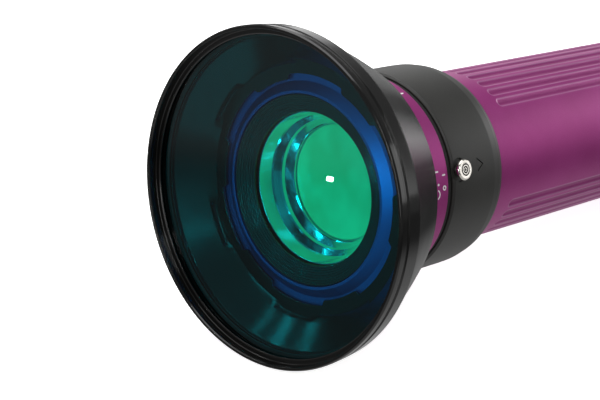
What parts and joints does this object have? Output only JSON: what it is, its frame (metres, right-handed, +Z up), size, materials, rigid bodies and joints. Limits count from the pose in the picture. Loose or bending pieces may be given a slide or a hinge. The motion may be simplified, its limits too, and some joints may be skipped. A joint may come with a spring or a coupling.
{
  "type": "underwater light",
  "caption": "Handheld underwater light: a wide bell with a teal filter glass, a rotary switch collar with a lock knob, and a fluted battery tube with a screwed tail cap.",
  "frame": {"origin": "on the ground, under the middle of the light's bounding box, as it lies on its front ring and tail cap", "axes": "+Z up from the ground; +Y along the light from the filter glass to the tail, whose axis slopes 5.7 degrees down towards the tail; +X to the side that carries the lock knob"},
  "size_m": [0.1198, 0.285, 0.1195],
  "materials": {
    "purple_anodised": "satin purple anodising",
    "black_anodised": "glossy black anodising with fine turning marks",
    "black_matt": "matt charcoal hard anodising",
    "steel": "turned stainless steel",
    "polished_aluminium": "mirror polished",
    "plain_aluminium": "machined",
    "brass": "machined",
    "rubber": "black nitrile",
    "filter_glass": "teal dichroic coating",
    "port_glass": "clear",
    "phosphor": "yellow silicone",
    "circuit_board": "green solder mask",
    "insulator": "white moulded",
    "ferrite": "dark moulded",
    "cell_wrap": "blue shrink wrap over a steel can"
  },
  "bodies": {
    "light_body": {"bell_grip_ring": "rubber", "head_housing": "purple_anodised", "lens_retaining_ring": "black_anodised", "port_glass": "port_glass", "port_seal_ring": "rubber", "reflector": "polished_aluminium", "led_phosphor": "phosphor", "led_board": "insulator", "heat_sink": "plain_aluminium", "led_board_screw_1": "steel", "led_board_screw_2": "steel", "led_lead_1": "rubber", "led_lead_2": "rubber", "driver_board": "circuit_board", "driver_inductor": "ferrite", "driver_chip": "ferrite", "switch_sensor": "ferrite", "contact_block": "insulator", "centre_contact": "brass", "collar_glide_ring": "rubber", "detent_ball": "steel", "detent_spring": "steel", "battery_tube": "purple_anodised", "head_seal_ring_1": "rubber", "head_seal_ring_2": "rubber", "cell_plate_front": "circuit_board", "cell_plate_middle": "circuit_board", "cell_plate_rear": "circuit_board", "tail_spring": "steel", "battery_cell_1": "cell_wrap", "battery_cell_2": "cell_wrap", "battery_cell_3": "cell_wrap", "battery_cell_4": "cell_wrap", "battery_cell_5": "cell_wrap", "battery_cell_6": "cell_wrap"},
    "filter_bell": {"bell_housing": "black_anodised", "filter_gasket": "rubber"},
    "filter_pane": {"filter_glass": "filter_glass"},
    "front_ring": {"filter_retaining_ring": "black_anodised"},
    "collar": {"switch_collar": "black_matt", "collar_magnet_1": "steel", "collar_magnet_2": "steel", "lock_spring": "steel"},
    "knob": {"lock_knob": "steel", "lock_pin": "steel"},
    "tail_contact": {"tail_contact_plate": "brass"},
    "tail": {"tail_cap": "purple_anodised", "tail_seal_ring_1": "rubber", "tail_seal_ring_2": "rubber"},
    "lanyard": {"lanyard_ring": "steel"}
  },
  "joints": [
    {"name": "bell_slide", "type": "slide", "parent": "light_body", "child": "filter_bell", "axis": [0, -0.9951, 0.099], "range_m": [0, 0.02]},
    {"name": "filter_advance", "type": "slide", "parent": "filter_bell", "child": "filter_pane", "axis": [0, -0.9951, 0.099], "range_m": [0, 0.012]},
    {"name": "front_ring_turn", "type": "hinge", "parent": "filter_pane", "child": "front_ring", "pos_m": [0, -0.13605, 0.05993], "axis": [0, -0.9951, 0.099], "range_deg": [0, 2160]},
    {"name": "collar_turn", "type": "hinge", "parent": "light_body", "child": "collar", "pos_m": [0, -0.07137, 0.0535], "axis": [0, -0.9951, 0.099], "range_deg": [-7.5, 50.5]},
    {"name": "knob_pull", "type": "slide", "parent": "collar", "child": "knob", "axis": [0.965, 0.026, 0.2609], "range_m": [0, 0.0025], "stiffness_N_per_m": 300, "springref_m": -0.004},
    {"name": "tail_advance", "type": "slide", "parent": "light_body", "child": "tail_contact", "axis": [0, 0.9951, -0.099], "range_m": [0, 0.014]},
    {"name": "tail_cap_turn", "type": "hinge", "parent": "tail_contact", "child": "tail", "pos_m": [0, 0.10874, 0.03557], "axis": [0, 0.9951, -0.099], "range_deg": [0, 2520]},
    {"name": "lanyard_swing", "type": "hinge", "parent": "tail", "child": "lanyard", "pos_m": [0, 0.1378, 0.03268], "axis": [1, 0, 0], "range_deg": [-15, 180]}
  ],
  "couplings": [
    {"joint": "filter_advance", "follows": "front_ring_turn", "m_per_rad": 0.00031831},
    {"joint": "tail_advance", "follows": "tail_cap_turn", "m_per_rad": 0.00031831}
  ]
}
